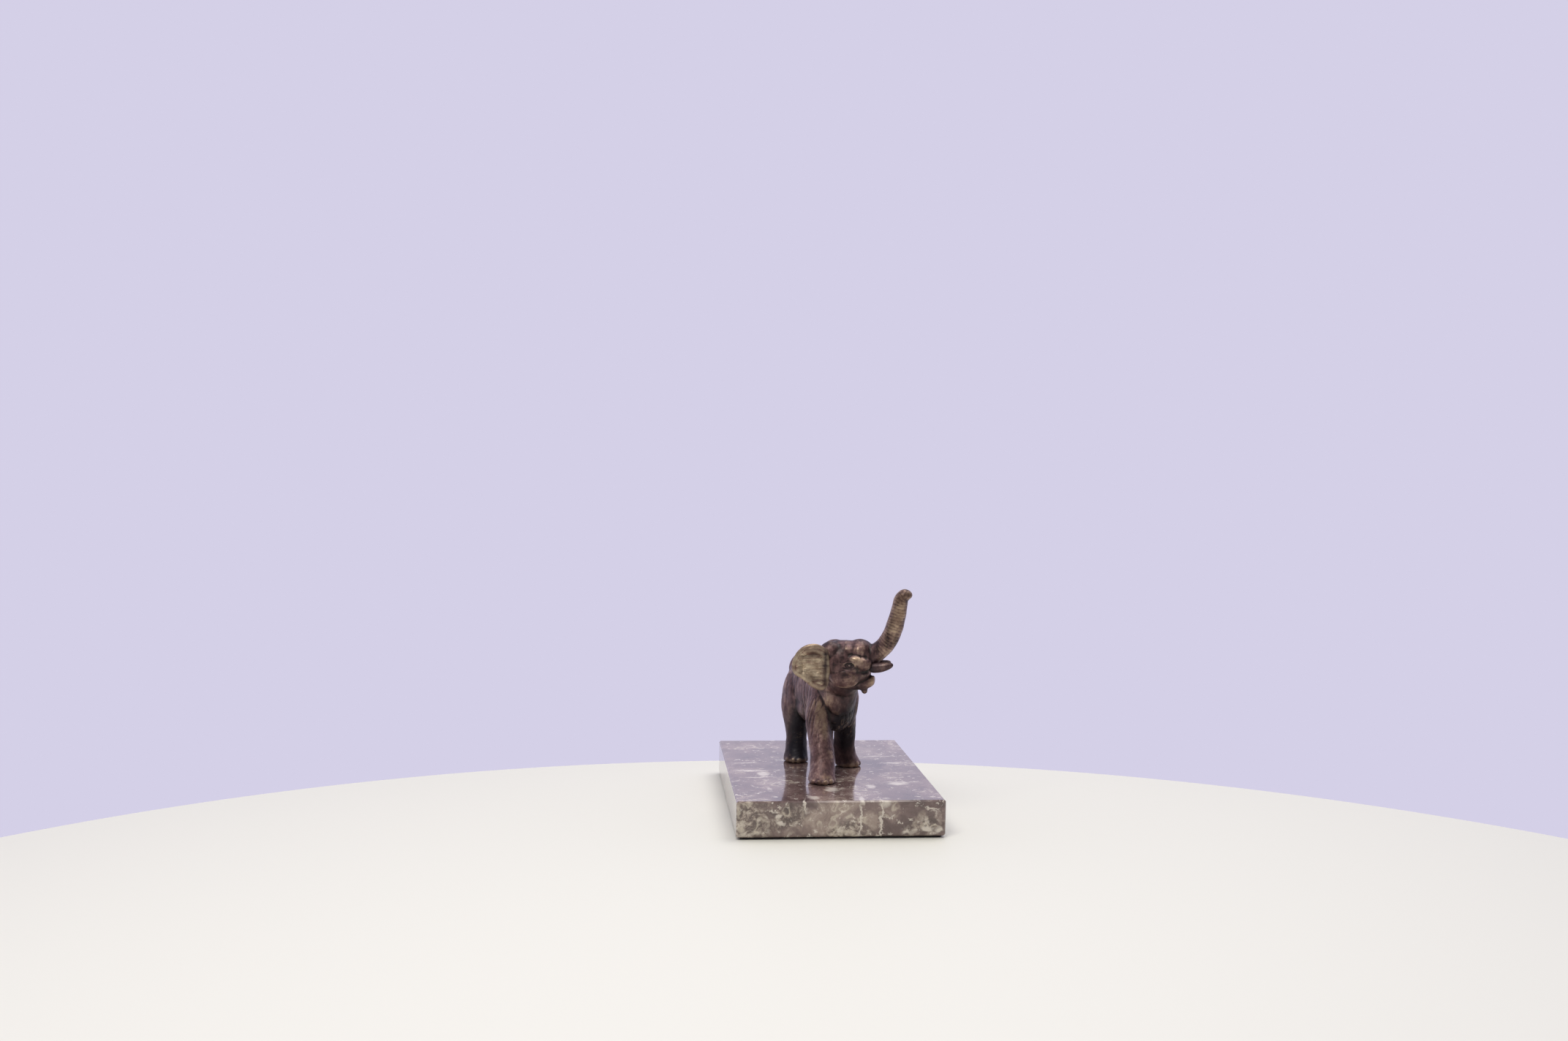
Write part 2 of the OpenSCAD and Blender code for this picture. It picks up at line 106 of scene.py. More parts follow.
# The wall stands beyond the object and lights it from there. Towards the camera's side its light fades
# into the dimmer light of the room.
wall_fade = 0.35
world = bpy.data.worlds.new("room")
scene.world = world
world.use_nodes = True
sky = world.node_tree
wall_light = sky.nodes["Background"]
wall_light.inputs["Color"].default_value = (0.66, 0.63, 0.80, 1)
room_light = sky.nodes.new("ShaderNodeBackground")
room_light.inputs["Color"].default_value = (0.62, 0.60, 0.70, 1)
room_light.inputs["Strength"].default_value = 0.25
toward = sky.nodes.new("ShaderNodeSeparateXYZ")
sky.links.new(sky.nodes.new("ShaderNodeTexCoord").outputs["Generated"], toward.inputs[0])
behind = sky.nodes.new("ShaderNodeMapRange")
behind.interpolation_type = "SMOOTHSTEP"
behind.inputs["From Min"].default_value = -wall_fade
behind.inputs["From Max"].default_value = wall_fade
sky.links.new(toward.outputs[1], behind.inputs[0])
seen = sky.nodes.new("ShaderNodeMath")
seen.operation = "MAXIMUM"
sky.links.new(behind.outputs[0], seen.inputs[0])
sky.links.new(sky.nodes.new("ShaderNodeLightPath").outputs["Is Camera Ray"], seen.inputs[1])
both = sky.nodes.new("ShaderNodeMixShader")
sky.links.new(seen.outputs[0], both.inputs[0])
sky.links.new(room_light.outputs[0], both.inputs[1])
sky.links.new(wall_light.outputs[0], both.inputs[2])
sky.links.new(both.outputs[0], sky.nodes["World Output"].inputs["Surface"])


def lamp(name, place, aim, width, height, watts, colour):
    """A flat soft lamp at a place, which looks towards its aim."""
    data = bpy.data.lights.new(name, "AREA")
    data.shape = "RECTANGLE"
    data.size = width
    data.size_y = height
    data.energy = watts
    data.color = colour
    obj = bpy.data.objects.new(name, data)
    obj.location = place
    obj.rotation_euler = (Vector(aim) - Vector(place)).to_track_quat("-Z", "Y").to_euler()
    scene.collection.objects.link(obj)


lamp("key_lamp", place=(-0.35, -0.55, 0.95), aim=(0, 0, 0.06), width=0.45, height=0.45, watts=5.3,
     colour=(1.0, 0.97, 0.90))
lamp("top_lamp", place=(0.25, 0.1, 1.2), aim=(0, -0.1, 0.05), width=0.8, height=0.8, watts=7.4,
     colour=(1.0, 0.98, 0.92))


# Base pad
# A sheet of dark wool felt under the stone, glued on, that hides the screw heads and saves the table.
def graph(name):
    """A new material, its node maker, its shader and its node tree."""
    material = bpy.data.materials.new(name)
    material.use_nodes = True
    tree = material.node_tree

    def put(kind, settings=(), **links):
        """A node: settings set its own options, and links set or join its inputs by name or place."""
        node = tree.nodes.new(kind)
        for key, value in dict(settings).items():
            setattr(node, key, value)
        for key, value in links.items():
            place = int(key[1:]) if key[0] == "i" and key[1:].isdigit() else key.replace("_", " ")
            socket = node.inputs[place]
            if isinstance(value, bpy.types.NodeSocket):
                tree.links.new(value, socket)
            else:
                socket.default_value = value
        return node

    return material, put, tree.nodes["Principled BSDF"], tree


def ramp(put, value, stops, mode="LINEAR"):
    """A colour ramp over a value. Each stop is a place and a grey or a colour."""
    node = put("ShaderNodeValToRGB", Fac=value)
    node.color_ramp.interpolation = mode
    marks = node.color_ramp.elements
    while len(marks) < len(stops):
        marks.new(0.5)
    for mark, (place, colour) in zip(marks, stops):
        mark.position = place
        grey = isinstance(colour, (int, float))
        mark.color = (colour, colour, colour, 1) if grey else (*colour, 1)
    return node.outputs["Color"]


def mix(put, share, a, b, how="MIX"):
    """Colour a where share is 0 and b where it is 1."""
    node = put("ShaderNodeMix", {"data_type": "RGBA", "blend_type": how, "clamp_result": False})
    for place, value in ((0, share), (6, a), (7, b)):
        socket = node.inputs[place]
        if isinstance(value, bpy.types.NodeSocket):
            node.id_data.links.new(value, socket)
        else:
            socket.default_value = value if place == 0 else (*value, 1)
    return node.outputs[2]


def sums(put, how, a, b):
    """One number from two."""
    return put("ShaderNodeMath", {"operation": how}, i0=a, i1=b).outputs[0]


def noise(put, vector, scale, detail, roughness=0.5):
    """Cloudy noise from 0 to 1, with about scale clouds to the metre."""
    kind = {"Vector": vector, "Scale": scale, "Detail": detail, "Roughness": roughness}
    return put("ShaderNodeTexNoise", **kind).outputs["Fac"]


def stored(put, name):
    """A value that the mesh holds at each of its points."""
    return put("ShaderNodeAttribute", {"attribute_name": name}).outputs["Fac"]


felt, put, shader, tree = graph("black_felt")
where = put("ShaderNodeTexCoord").outputs["Object"]
fibre = noise(put, where, 900, 6, 0.7)
tree.links.new(ramp(put, fibre, [(0.3, (0.010, 0.009, 0.010)), (0.7, (0.05, 0.045, 0.045))]),
               shader.inputs["Base Color"])
shader.inputs["Roughness"].default_value = 0.95
shader.inputs["Sheen Weight"].default_value = 0.3
bump = put("ShaderNodeBump", Height=fibre, Strength=0.6, Distance=0.0002)
tree.links.new(bump.outputs["Normal"], shader.inputs["Normal"])


def finish_node(name, material):
    """Gives a node of the CAD model its material."""
    obj = frame["nodes"][name]
    for place in range(len(obj.material_slots)):
        obj.material_slots[place].material = material
    if not obj.material_slots:
        obj.data.materials.append(material)


finish_node("base_pad", felt)


# Stone base
# A sawn slab of brown marble with grey green clouds, a pale drift, cream shell marks and fine white
# veins. It is polished all over, with ground bevels, and drilled from below for the foot screws.
marble, put, shader, tree = graph("polished_marble")
where = put("ShaderNodeTexCoord").outputs["Object"]


def vectors(how, a, b, **more):
    """A vector from two or three others."""
    return put("ShaderNodeVectorMath", {"operation": how}, i0=a, i1=b, **more).outputs[0]


def warped(amount, scale, detail):
    """The stone's own coordinates, pushed about by slow noise."""
    push = put("ShaderNodeTexNoise", Vector=where, Scale=scale, Detail=detail, Roughness=0.6).outputs["Color"]
    centred = vectors("SUBTRACT", push, (0.5, 0.5, 0.5))
    return vectors("MULTIPLY_ADD", centred, (amount,) * 3, i2=where)


def spot(vector, middle, radii, edge=0.25):
    """A soft ellipsoid in the stone, in millimetres from its middle: 1 inside and 0 outside."""
    off = vectors("SUBTRACT", vector, [m * MM for m in middle])
    ratio = vectors("DIVIDE", off, [r * MM for r in radii])
    far_off = put("ShaderNodeVectorMath", {"operation": "LENGTH"}, i0=ratio).outputs["Value"]
    return put("ShaderNodeMapRange", {"interpolation_type": "SMOOTHSTEP"}, i0=far_off, i1=1 + edge,
               i2=1 - edge, i3=0.0, i4=1.0).outputs[0]


def most(values):
    """The largest of several values."""
    total = values[0]
    for value in values[1:]:
        total = sums(put, "MAXIMUM", total, value)
    return total


def spots(vector, rows):
    """Several spots as one. A row is a spot's middle, its radii and its edge."""
    return most([spot(vector, *row) for row in rows])


slow = warped(0.022, 42, 4)
quick_warp = warped(0.007, 190, 5)

# The ground is brown, with grey green clouds and a paler pink drift.
cloud = noise(put, slow, 45, 9, 0.66)
ground = ramp(put, cloud, [(0.32, (0.072, 0.042, 0.040)), (0.46, (0.155, 0.098, 0.090)),
                           (0.56, (0.23, 0.156, 0.141)), (0.68, (0.38, 0.295, 0.255))])
fleck = noise(put, slow, 210, 8, 0.68)
busy = spots(slow, [((-48, -76, 10), (9, 22, 11), 0.5), ((3, -76, 3), (11, 14, 5), 0.5),
                    ((44, -70, 5), (10, 12, 7), 0.6), ((-30, -76, 11), (9, 12, 6), 0.6)])
green = ramp(put, fleck, [(0.38, (0.070, 0.048, 0.040)), (0.47, (0.16, 0.115, 0.095)),
                          (0.53, (0.40, 0.325, 0.265)), (0.6, (0.72, 0.65, 0.54))])
colour = mix(put, sums(put, "MULTIPLY", busy, 0.85), ground, green)
pink = ramp(put, fleck, [(0.36, (0.25, 0.175, 0.15)), (0.5, (0.38, 0.29, 0.245)), (0.62, (0.5, 0.4, 0.33))])
drift = spots(slow, [((-2, -78, 17), (12, 14, 6), 0.3), ((-12, -78, 9), (10, 12, 6), 0.35),
                     ((16, -78, 7), (4, 8, 5), 0.4), ((30, 40, 10), (14, 20, 12), 0.5)])
colour = mix(put, sums(put, "MULTIPLY", drift, 0.9), colour, pink)

# Shell marks are broken cream rings.
rings = put("ShaderNodeTexVoronoi", {"feature": "SMOOTH_F1"}, Vector=slow, Scale=125, Smoothness=0.2)
ring_line = ramp(put, rings.outputs["Distance"], [(0.22, 0.0), (0.34, 1.0), (0.44, 0.0), (0.6, 0.0)])
ring_zone = ramp(put, noise(put, where, 46, 4), [(0.52, 0.0), (0.62, 1.0)])
ring_in = sums(put, "MULTIPLY", ring_line, most([ring_zone, busy]))
shell_cream = (0.62, 0.54, 0.43)
colour = mix(put, sums(put, "MULTIPLY", ring_in, 0.8), colour, shell_cream)

# White veins, chips and blobs of calcite lie over everything else.
veins = spots(quick_warp, [((9.6, -74, 9), (0.55, 16, 9.5), 0.5), ((20.8, -78, 10), (0.5, 12, 13), 0.5),
                           ((-19, -80, 18), (0.6, 8, 4), 0.6), ((-38, -22, 20), (9, 0.7, 8), 0.6),
                           ((36, 30, 20), (10, 0.8, 6), 0.6), ((38, -36, 20), (9, 0.9, 6), 0.6),
                           ((-44, 14, 20), (7, 0.8, 6), 0.6)])
drawn = put("ShaderNodeMapping", Vector=quick_warp, Scale=(0.6, 1, 1)).outputs[0]
grain = noise(put, drawn, 330, 6, 0.6)
chips = ramp(put, sums(put, "MAXIMUM", fleck, grain), [(0.605, 0.0), (0.65, 1.0)])
few = ramp(put, noise(put, where, 62, 3), [(0.40, 0.35), (0.52, 1.0)])
blobs = spots(quick_warp, [((45, -79, 5.4), (3, 4, 1.5), 0.4), ((51, -79, 4.6), (2.6, 4, 1.9), 0.4),
                           ((34, -79, 3), (2.2, 4, 1.2), 0.5), ((11, -74, 19), (1.6, 5, 2.4), 0.4),
                           ((23, -75, 18), (3.5, 4, 1.6), 0.6), ((-33, -79, 12), (1.3, 4, 1.1), 0.5),
                           ((-32, -79, 8), (1.6, 4, 0.9), 0.5), ((-14, -70, 20), (2.2, 4, 2), 0.5),
                           ((-36, -14, 20), (3.4, 5, 2), 0.4), ((-42, -6, 20), (9, 1.5, 2), 0.5),
                           ((20, -46, 20), (2.6, 4, 2), 0.5), ((42, 12, 20), (5, 2.4, 2), 0.5),
                           ((-2, -52, 20), (3, 5, 2), 0.5), ((36, -40, 20), (5, 3, 2), 0.6)])
white_in = most([sums(put, "MULTIPLY", chips, few), veins, blobs])
calcite = (0.74, 0.67, 0.58)
colour = mix(put, sums(put, "MULTIPLY", white_in, 0.92), colour, calcite)
tree.links.new(colour, shader.inputs["Base Color"])
tree.links.new(ramp(put, cloud, [(0.3, 0.10), (0.7, 0.17)]), shader.inputs["Roughness"])
shader.inputs["Coat Weight"].default_value = 0.6
shader.inputs["Coat Roughness"].default_value = 0.04
shader.inputs["IOR"].default_value = 1.55
finish_node("stone_base", marble)


# The animal's form
# The foundry's pattern was one figure: the body with its four legs, the neck, and the raised head with
# its trunk. It is modelled here as one skin, and the castings below are parted from it.
hinge = frame["joints"][0]
animal_turn = math.atan2(hinge["axis"][1], hinge["axis"][0])
stone_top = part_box("stone_base")[1][2]
off_middle = 1.5
stand = (Matrix.Translation((off_middle * MM, 0, stone_top)) @ Matrix.Rotation(animal_turn, 4, "Z")
         @ Matrix.Scale(MM, 4))
skull_middle = (1.5, -35, 65)
head_turn = math.radians(60)
skull_frame = Matrix.Translation(skull_middle) @ Matrix.Rotation(head_turn, 4, "Z")


def loft(rows, sides=20, place=Matrix(), levels=2):
    """A closed cage through rings. A row is (x, y, z, half size across, half size along, ring normal)."""
    bm = bmesh.new()
    loops = []
    for x, y, z, a, b, normal in rows:
        n = Vector(normal).normalized()
        across = (Vector((1, 0, 0)) - n * n.x).normalized()
        along = n.cross(across)
        turned = Matrix((across * a, along * b, n)).transposed().to_4x4()
        turned.translation = Vector((x, y, z))
        ring = bmesh.ops.create_circle(bm, segments=sides, radius=1, matrix=turned)["verts"]
        loops.append([e for e in bm.edges if e.verts[0] in ring and e.verts[1] in ring])
    for first, second in zip(loops, loops[1:]):
        bmesh.ops.bridge_loops(bm, edges=first + second)
    for ends in (loops[0], loops[-1]):
        bmesh.ops.contextual_create(bm, geom=ends)
    bmesh.ops.recalc_face_normals(bm, faces=bm.faces)
    bmesh.ops.transform(bm, matrix=place, verts=bm.verts)
    obj = made("cage", bm)
    round_off = obj.modifiers.new("round", "SUBSURF")
    round_off.levels = round_off.render_levels = levels
    return obj


def sweep(line, sides=20, place=Matrix(), flat=1.0):
    """A loft along points (x, y, z, radius), each ring square to the line."""
    spots = [Vector(p[:3]) for p in line]
    rows = []
    for k, p in enumerate(line):
        normal = spots[min(k + 1, len(spots) - 1)] - spots[max(k - 1, 0)]
        rows.append((*p[:3], p[3], p[3] * flat, normal))
    return loft(rows, sides, place)


def blob(middle, radii, turned=(0, 0, 0), place=Matrix()):
    """A solid ellipsoid of muscle or bone."""
    bm = bmesh.new()
    bmesh.ops.create_icosphere(bm, subdivisions=4, radius=1)
    bmesh.ops.scale(bm, vec=radii, verts=bm.verts)
    about_x, about_y, about_z = (Matrix.Rotation(math.radians(t), 4, axis) for t, axis in zip(turned, "XYZ"))
    spin = about_z @ about_y @ about_x
    bmesh.ops.transform(bm, matrix=place @ Matrix.Translation(middle) @ spin, verts=bm.verts)
    return made("blob", bm)


def applied(obj):
    """Makes the object's modifiers part of its mesh."""
    graph_now = bpy.context.evaluated_depsgraph_get()
    mesh = bpy.data.meshes.new_from_object(obj.evaluated_get(graph_now))
    old = obj.data
    obj.modifiers.clear()
    obj.data = mesh
    bpy.data.meshes.remove(old)
    return obj


def joined(name, parts):
    """One object of all the parts' shells, which it uses up."""
    bm = bmesh.new()
    for part in parts:
        bm.from_mesh(applied(part).data)
        bpy.data.meshes.remove(part.data)
    return made(name, bm)


def melted(name, parts, grain):
    """One closed skin round all the parts, of squares of side grain."""
    obj = joined(name, parts)
    skin = obj.modifiers.new("skin", "REMESH")
    skin.mode = "VOXEL"
    skin.voxel_size = grain
    return applied(obj)


class Clay:
    """A mesh's points as arrays, for sculpting."""

    def __init__(self, obj):
        mesh = obj.data
        self.mesh = mesh
        self.points = np.empty(len(mesh.vertices) * 3)
        mesh.vertices.foreach_get("co", self.points)
        self.points = self.points.reshape(-1, 3)
        edges = np.empty(len(mesh.edges) * 2, int)
        mesh.edges.foreach_get("vertices", edges)
        self.edges = edges.reshape(-1, 2)
        self.count = np.maximum(1, np.bincount(edges, minlength=len(self.points)))[:, None]

    def average(self, values):
        """The mean of each point's neighbours."""
        a, b = self.edges.T
        size = len(values)
        total = np.stack([np.bincount(a, values[b, k], size) + np.bincount(b, values[a, k], size)
                          for k in range(values.shape[1])], 1)
        return total / self.count

    def smooth(self, times, share=0.6):
        """Evens out the skin, and gives back half of what each pass draws in."""
        for _ in range(times):
            self.points += (self.average(self.points) - self.points) * share
            self.points -= (self.average(self.points) - self.points) * share * 0.5
        self.write()

    def write(self):
        self.mesh.vertices.foreach_set("co", self.points.ravel())
        self.mesh.update()

    def normals(self):
        self.write()
        out = np.empty(len(self.points) * 3)
        self.mesh.vertex_normals.foreach_get("vector", out)
        return out.reshape(-1, 3)

    def push(self, depth):
        """Moves every point out along its normal by its own depth."""
        self.points += self.normals() * depth[:, None]
        self.write()

    def proud(self, times):
        """How far each point stands out from the smoothed form."""
        flat = self.points.copy()
        for _ in range(times):
            flat += (self.average(flat) - flat) * 0.8
        return ((self.points - flat) * self.normals()).sum(1)

    def seen_from(self, place):
        """The points in another frame."""
        turn_back = np.array(place.inverted())
        return self.points @ turn_back[:3, :3].T + turn_back[:3, 3]

    def keep(self, name, values):
        """Stores a value from 0 to 1 for each point, for the material."""
        layer = self.mesh.attributes.new(name, "FLOAT", "POINT")
        layer.data.foreach_set("value", np.clip(values, 0, 1).astype(np.float32))


def bumps(points, size, seed=0):
    """Smooth noise from -1 to 1 with features of that size. size may differ along each axis."""
    q = points / np.asarray(size, float) + 37.7 * (seed + 1)
    cell = np.floor(q).astype(np.int64)
    f = q - cell
    f = f * f * (3 - 2 * f)
    total = 0
    for corner in np.ndindex(2, 2, 2):
        at = cell + np.array(corner)
        key = (at[:, 0] * 73856093) ^ (at[:, 1] * 19349663) ^ (at[:, 2] * 83492791) ^ (seed * 2654435)
        key = (key ^ (key >> 13)) * 1274126177 & 0x7FFFFFFF
        key = (key ^ (key >> 16)) & 0xFFFF
        weight = np.prod(np.where(corner, f, 1 - f), axis=1)
        total = total + weight * (key / 32767.5 - 1)
    return total


def ridged(points, size, seed=0):
    """Sharp creases: 0 on a crease and 1 between creases."""
    return np.minimum(1, np.abs(bumps(points, size, seed)) * 3)


def bell(values, middle, width):
    """1 at the middle, falling to 0 a width or two away."""
    return np.exp(-((values - middle) / width) ** 2)


def near(points, middle, radius):
    """1 at a place, falling to 0 about a radius away. The radius may differ along each axis."""
    return np.exp(-(((points - np.array(middle)) / np.asarray(radius, float)) ** 2).sum(1))


down = (0, 0, -1)
back = (0, 1, 0)
trunk_of_body = [(-31, 50.5, 5.2, 8.0), (-27, 49.5, 9.2, 13.2), (-21, 47.9, 11.2, 17),
                 (-10.5, 45.9, 12.8, 20.1), (2, 44.4, 14.2, 20.9), (16, 44, 15, 21), (28, 44, 15, 20.6),
                 (38, 43.5, 13.8, 18.6), (45.3, 42.6, 10.8, 14.6), (51, 41.2, 5.9, 8.6)]
right_fore = [(-5, -9, 56, 3.5, 6), (-7.2, -12, 47, 6.4, 10), (-9.6, -14.5, 36, 7.6, 10),
              (-10.4, -17, 28, 7.2, 8.8), (-10.6, -20.5, 22, 6.4, 7.7), (-10.2, -25, 15.5, 7, 7.5),
              (-11.1, -28.8, 9, 6.7, 6.8), (-12.6, -32.3, 4.5, 7.3, 7.3), (-13.2, -34.2, 1.2, 7.7, 8.1),
              (-13.2, -34.4, 0, 7.4, 7.8)]
left_fore = [(4.5, -8, 56, 3.5, 6), (5.6, -10, 47, 6, 9), (6.9, -9, 36, 6.9, 9),
             (8.3, -5.5, 28, 6.6, 8.2), (10, -2.8, 21, 6.2, 7.2), (10.5, 0.2, 15, 6.1, 6.7),
             (11.3, 2.6, 9, 6.3, 6.5), (13.3, 3.8, 4.5, 7.1, 7.2), (14.2, 4, 1.2, 7.6, 8),
             (14.2, 4, 0, 7.4, 7.8)]
right_hind = [(-5, 30, 57, 4, 8), (-7.6, 30, 47, 7.5, 13), (-9.6, 29, 36, 9.2, 13.5),
              (-10.6, 27, 27, 8.4, 10.5), (-10.8, 25, 20, 6.6, 8), (-10.8, 24.2, 14, 6, 6.9),
              (-11.2, 23.2, 8, 6.2, 6.7), (-11.7, 21.8, 4, 6.8, 7.4), (-11.9, 21.2, 1.2, 7.2, 7.9),
              (-11.9, 21.2, 0, 7, 7.7)]
left_hind = [(5, 31, 57, 4, 8), (7.6, 32, 47, 7.5, 13), (9.4, 33, 36, 9.2, 13.5),
             (10, 35.5, 27, 8.2, 10.5), (10.4, 38, 20, 6.6, 8), (10.6, 40.5, 14, 6, 6.9),
             (10.9, 41.8, 8, 6.1, 6.6), (11.2, 42, 4, 6.7, 7.2), (11.4, 42, 1.2, 7.1, 7.7),
             (11.4, 42, 0, 6.9, 7.5)]
trunk_line = [(0, -8, 3.6, 6.6), (0, -11.5, 5.4, 6.0), (0, -14.6, 7, 5.4), (0, -18.3, 10.1, 5.2),
              (0, -21.3, 14.3, 5.1), (0, -23.5, 19, 4.9), (0, -25.3, 25, 4.7), (0, -26.5, 31, 4.35),
              (0, -27.2, 35.3, 4.0), (0, -28.2, 38, 4.1), (0, -29.8, 39.2, 4.1), (0, -31.6, 38.6, 3.3),
              (0, -32.8, 37.2, 2.0)]
jaw_line = [(0, 8, -7.6, 7, 5), (0, 2, -9.2, 6.4, 4.8), (0, -4, -10.2, 5.2, 4), (0, -9, -10.1, 4.3, 3.5),
            (0, -12.4, -8.6, 3.5, 3.2), (0, -14.3, -7.4, 2.2, 2.4)]

# Each foot has five nails, a step apart round its front.
nail_size = (0.7, 1.6, 1.6)
nail_step, nail_sunk, nail_rise = 33, 0.45, 1.5
parts = [loft([(0, y, z, a, b, back) for y, z, a, b in trunk_of_body], 24)]
for leg in (right_fore, left_fore, right_hind, left_hind):
    parts.append(loft([(*row, down) for row in leg]))
    x, y, _, a, b = leg[-1]
    for k in range(5):
        angle = math.radians(-90 + (k - 2) * nail_step)
        nail_x = x + (a - nail_sunk) * math.cos(angle)
        nail_y = y + (b - nail_sunk) * math.sin(angle)
        parts.append(blob((nail_x, nail_y, nail_rise), nail_size, (0, 0, math.degrees(angle))))

# Shoulders, haunches and rump come in pairs. Then the withers, chest, brisket, ridge, belly and spine.
for side in (-1, 1):
    parts.append(blob((side * 7.2, -11, 42), (7, 11, 17)))
    parts.append(blob((side * 10.2, 28, 36.5), (7.6, 14, 17)))
    parts.append(blob((side * 4, 44, 50), (6, 6, 9)))
for muscle in (((0, -12, 62), (8, 6.5, 5)), ((0, -16, 38), (10.5, 10, 13.5)), ((0, -22, 45), (9, 8, 12)),
               ((0, -6, 60), (5, 14, 7.5), (4, 0, 0)), ((0, 12, 34), (14, 22, 12)),
               ((0, 22, 58), (3.2, 24, 7))):
    parts.append(blob(*muscle))
parts.append(sweep([(0, -10, 50, 13), (0, -19, 53.5, 12.6), (0.2, -26, 57, 11.6), (0.5, -31, 60, 10.6),
                    (1, -35, 62.5, 9.5)], 24))

# The skull, crown, forehead, cheeks and muzzle. Then on each side a dome, a jaw, a brow and a tusk's sheath.
on_skull = {"place": skull_frame}
for middle, radii in (((0, 5, 1), (11, 12.4, 12)), ((0, 1, 7.8), (8.4, 9.5, 5.4)),
                      ((0, -5.5, 7.6), (8.4, 7.6, 6.5)), ((0, -2, -1.2), (10.4, 10.4, 10)),
                      ((0, -9, 4.5), (6.8, 8, 7))):
    parts.append(blob(middle, radii, **on_skull))
for side in (-1, 1):
    parts.append(blob((side * 4.2, 9.5, 6.9), (6, 6.8, 5.8), **on_skull))
    parts.append(blob((side * 6.6, 1.5, -5), (4.6, 9, 7.2), **on_skull))
    parts.append(blob((side * 8, -4.4, 4), (2.6, 4, 2.2), (0, 20 * side, 0), **on_skull))
    parts.append(sweep([(side * 7, -2, 2.6, 3.6), (side * 6.9, -5.5, 2.2, 4.2), (side * 6.1, -9.5, 1.1, 3.9),
                        (side * 5, -13, 0.1, 3.4)], 16, skull_frame))
parts.append(loft([(x, y, z, a, b, back) for x, y, z, a, b in reversed(jaw_line)], 16, skull_frame))
parts.append(blob((0, -8.4, -14.2), (1.7, 1.9, 1.9), **on_skull))
parts.append(sweep(trunk_line, 20, skull_frame))
skin_grain, skin_passes = 0.38, 19
animal = melted("animal", parts, skin_grain)
clay = Clay(animal)
clay.smooth(skin_passes)


def along_line(points, line):
    """How far along a line of places each point's nearest spot on it is, and how far off the point is."""
    spots = np.array([p[:3] for p in line], float)
    best = np.full(len(points), 1e9)
    run = np.zeros(len(points))
    start = 0.0
    for a, b in zip(spots, spots[1:]):
        length = np.linalg.norm(b - a)
        share = np.clip(((points - a) @ (b - a)) / length ** 2, 0, 1)
        off = np.linalg.norm(points - a - share[:, None] * (b - a), axis=1)
        closer = off < best
        best = np.where(closer, off, best)
        run = np.where(closer, start + share * length, run)
        start += length
    return run, best


def one_side(points):
    """The points with the right side laid over the left, so that one mark serves both."""
    return np.abs(points) * [1, 0, 0] + points * [0, 1, 1]


def marked(points, rows):
    """Several soft marks as one. A row is a mark's strength, its place and its radius."""
    total = np.zeros(len(points))
    for strength, middle, radius in rows:
        total += strength * near(points, middle, radius)
    return total


# The eye sockets, the corners and line of the mouth, and the hollows behind the eyes are pressed in.
h = clay.seen_from(skull_frame)
clay.push(marked(one_side(h), [(-0.8, (10.2, -2, 0.6), (3, 3.4, 2.2)),
                               (-1.5, (6.3, -12.4, -2.8), (1.6, 1.7, 1.5)),
                               (-1.0, (6, -8, -3.4), (3, 4.5, 1.1)),
                               (-0.5, (9.6, -6.2, -1.4), (3, 1.3, 2.6))]))

# An eyeball in two lids, with a fold over the upper one.
eye_x, eye_y, eye_z = 9.6, -1.7, 0.5
eye_radius, eye_slant = 1.05, 1.7
h = clay.seen_from(skull_frame)
side_h = one_side(h)
across = np.hypot(side_h[:, 1] - eye_y, (side_h[:, 2] - eye_z) * eye_slant)
on_side = bell(side_h[:, 0], eye_x, 3)
lids = 0.2 * bell(across, 1.6, 0.4) + 0.12 * bell(across, 2.7, 0.45) * (side_h[:, 2] < 1)
eyeball = np.sqrt(np.clip(1 - (across / eye_radius) ** 2, 0, 1))
lids += 0.45 * eyeball + 0.2 * bell(across, 3.4, 0.5) * (side_h[:, 2] > 0)
clay.push(lids * on_side)

# Rings round the trunk, from the muzzle to just short of its tip, and the creases of the head.
ring_gap, ring_depth = 1.45, 0.07
h = clay.seen_from(skull_frame)
run, off = along_line(h, trunk_line)
of_trunk = np.clip((run - 5) / 6, 0, 1) * (off < 8.5) * np.clip((52 - run) / 3, 0, 1)
wobble = bumps(h, (3, 3, 3), 5) * 0.5
rings = np.abs(np.sin((run * (1 - 0.002 * run) + wobble) * math.pi / ring_gap))
clay.push(of_trunk * ring_depth * (np.minimum(1, rings * 1.4) - 0.8))
temple = near(side_h, (10, 2.5, -1.5), (5, 6, 5.5))
clay.push(0.2 * temple * (ridged(h, (3, 5.5, 1.3), 6) - 0.7))
crown = near(side_h, (2, 2, 11), (9, 10, 6))
clay.push(0.1 * crown * (ridged(h, (2.6, 2.2, 3), 7) - 0.7))
brow = near(side_h, (6, -9, 7), (4, 5, 4))
clay.push(0.18 * brow * (ridged(h, (3, 1.1, 4), 8) - 0.7))

# The hide: broad folds on the flanks, fine wrinkles low down, and long streaks on the chest.
p = clay.points
x, y, z = p.T
on_body = 1 / (1 + np.exp((y * -0.85 + z * 0.55 - 52.7) / 1.5))
folds = ridged(p, (9, 4.2, 22), 1) - 1
flank = bell(y, 8, 30) * bell(z, 42, 16)
clay.push(0.32 * folds * flank * on_body)
fine = ridged(p, (3.2, 2.2, 1.1), 2) - 1
clay.push(0.05 * fine * (0.4 + bell(z, 14, 7)) * on_body)
streaks = 0.28 * (ridged(p, (2.6, 2.6, 15), 11) - 0.7) * bell(z, 34, 20) * bell(y, -18, 14)
clay.push(0.05 * bumps(p, 1.3, 3) + 0.2 * bumps(p, 4, 4) + streaks)

